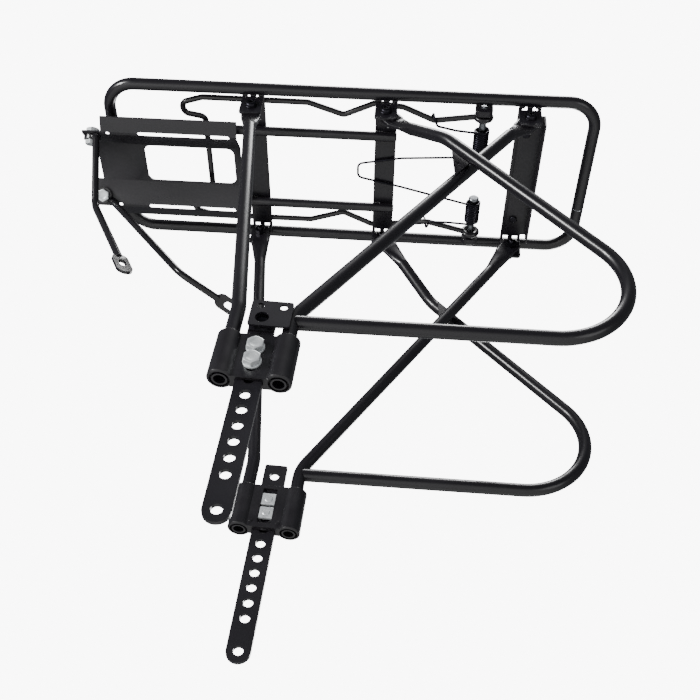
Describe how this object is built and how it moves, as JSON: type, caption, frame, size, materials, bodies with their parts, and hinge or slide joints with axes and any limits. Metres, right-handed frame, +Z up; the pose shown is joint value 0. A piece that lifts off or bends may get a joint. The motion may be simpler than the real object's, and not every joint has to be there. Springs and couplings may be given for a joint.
{
  "type": "bicycle rear rack",
  "caption": "Tubular bicycle luggage carrier with height-adjustable perforated leg ends, pannier hoops, folded front plate with swivelling stays, and a sprung wire clamp.",
  "frame": {"origin": "midpoint between the two axle eyes, on their common axis", "axes": "+X to the bicycle's rear, +Y to its right, +Z up"},
  "size_m": [0.435, 0.182, 0.44],
  "materials": {
    "powder_coat": "satin black powder coat on steel and alloy tube",
    "painted_casting": "satin black paint on a die casting",
    "zinc_plate": "bright zinc plate",
    "black_oxide": "black oxide on steel",
    "spring_steel": "oiled spring wire",
    "bare_steel": "turned steel"
  },
  "bodies": {
    "frame": {"top_loop": "powder_coat", "loop_joiner": "bare_steel", "inner_rod_left": "powder_coat", "inner_rod_right": "powder_coat", "front_plate": "powder_coat", "cross_plate_front": "powder_coat", "cross_plate_mid": "powder_coat", "cross_plate_rear": "powder_coat", "front_strut_left": "powder_coat", "front_strut_right": "powder_coat", "diagonal_strut_left": "powder_coat", "diagonal_strut_right": "powder_coat", "pannier_hoop_left": "powder_coat", "pannier_hoop_right": "powder_coat", "crossing_gusset_left": "powder_coat", "crossing_gusset_right": "powder_coat", "fitting_bolts": "black_oxide", "fitting_washers": "black_oxide", "fitting_nuts": "black_oxide", "leg_bracket_left": "painted_casting", "leg_bracket_right": "painted_casting", "stay_bolts": "zinc_plate", "stay_nuts": "zinc_plate", "pivot_pin_left": "bare_steel", "pivot_pin_right": "bare_steel", "pivot_lug_left": "powder_coat", "pivot_lug_right": "powder_coat", "lamp_bracket": "powder_coat", "lamp_screws": "black_oxide", "torsion_spring": "spring_steel"},
    "left_leg_end": {"leg_strip_left": "powder_coat", "strip_bolts_left": "zinc_plate", "strip_washers_left": "zinc_plate", "strip_nuts_left": "zinc_plate", "accessory_plate": "powder_coat", "accessory_screw": "black_oxide"},
    "right_leg_end": {"leg_strip_right": "powder_coat", "strip_bolts_right": "zinc_plate", "strip_washers_right": "zinc_plate", "strip_nuts_right": "zinc_plate"},
    "left_stay_arm": {"stay_arm_left": "powder_coat"},
    "right_stay_arm": {"stay_arm_right": "powder_coat"},
    "spring_clamp": {"clamp": "powder_coat"}
  },
  "joints": [
    {"name": "left_leg_height", "type": "slide", "parent": "frame", "child": "left_leg_end", "axis": [0.0384, 0, 0.9993], "range_m": [-0.004, 0.004]},
    {"name": "right_leg_height", "type": "slide", "parent": "frame", "child": "right_leg_end", "axis": [0.0384, 0, 0.9993], "range_m": [-0.004, 0.004]},
    {"name": "left_stay_swing", "type": "hinge", "parent": "frame", "child": "left_stay_arm", "pos_m": [-0.181, -0.0315, 0.40951], "axis": [0, 0.6074, -0.7944], "range_deg": [-36, 94]},
    {"name": "right_stay_swing", "type": "hinge", "parent": "frame", "child": "right_stay_arm", "pos_m": [-0.181, 0.0315, 0.40951], "axis": [0, 0.6074, 0.7944], "range_deg": [-13, 117]},
    {"name": "clamp_lift", "type": "hinge", "parent": "frame", "child": "spring_clamp", "pos_m": [0.15, 0, 0.421], "axis": [0, 1, 0], "range_deg": [0, 75], "stiffness_Nm_per_rad": 1.2, "springref_deg": -28.65}
  ]
}
